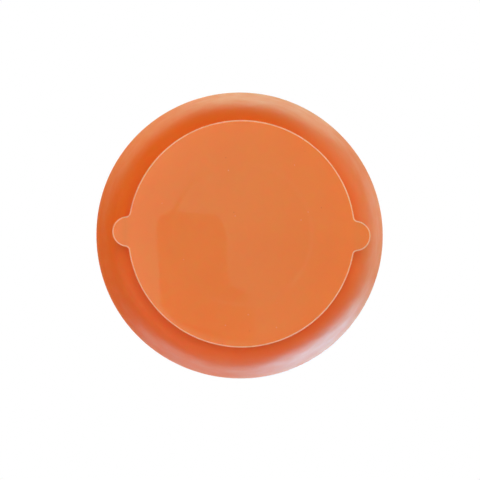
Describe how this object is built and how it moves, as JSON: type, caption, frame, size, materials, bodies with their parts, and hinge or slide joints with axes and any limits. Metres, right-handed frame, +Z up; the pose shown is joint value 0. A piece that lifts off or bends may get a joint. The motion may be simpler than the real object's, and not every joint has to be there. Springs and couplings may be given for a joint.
{
  "type": "suction bowl",
  "caption": "Child's silicone feeding bowl on a flat suction disc, with round tabs at the disc's edge that are lifted to release it.",
  "frame": {"origin": "middle of the suction disc's flat underside, on the table", "axes": "+Z up through the bowl's mouth, X through the two release tabs"},
  "size_m": [0.125, 0.125, 0.0525],
  "materials": {
    "satin_silicone": "satin orange silicone, faintly translucent at thin edges",
    "polished_silicone": "polished orange silicone with a few dust specks"
  },
  "bodies": {
    "suction_base": {"suction_disc": "polished_silicone", "neck": "satin_silicone"},
    "bowl": {"bowl_shell": "satin_silicone"},
    "left_tab": {"left_release_tab": "polished_silicone"},
    "right_tab": {"right_release_tab": "polished_silicone"}
  },
  "joints": [
    {"name": "bowl_lift", "type": "slide", "parent": "suction_base", "child": "bowl", "axis": [0, 0, 1], "range_m": [0, 0.0015], "stiffness_N_per_m": 3000},
    {"name": "left_tab_lift", "type": "hinge", "parent": "suction_base", "child": "left_tab", "pos_m": [-0.04775, 0, 0.0014], "axis": [0, 1, 0], "range_deg": [0, 60], "stiffness_Nm_per_rad": 0.0025},
    {"name": "right_tab_lift", "type": "hinge", "parent": "suction_base", "child": "right_tab", "pos_m": [0.04775, 0, 0.0014], "axis": [0, -1, 0], "range_deg": [0, 60], "stiffness_Nm_per_rad": 0.0025}
  ]
}
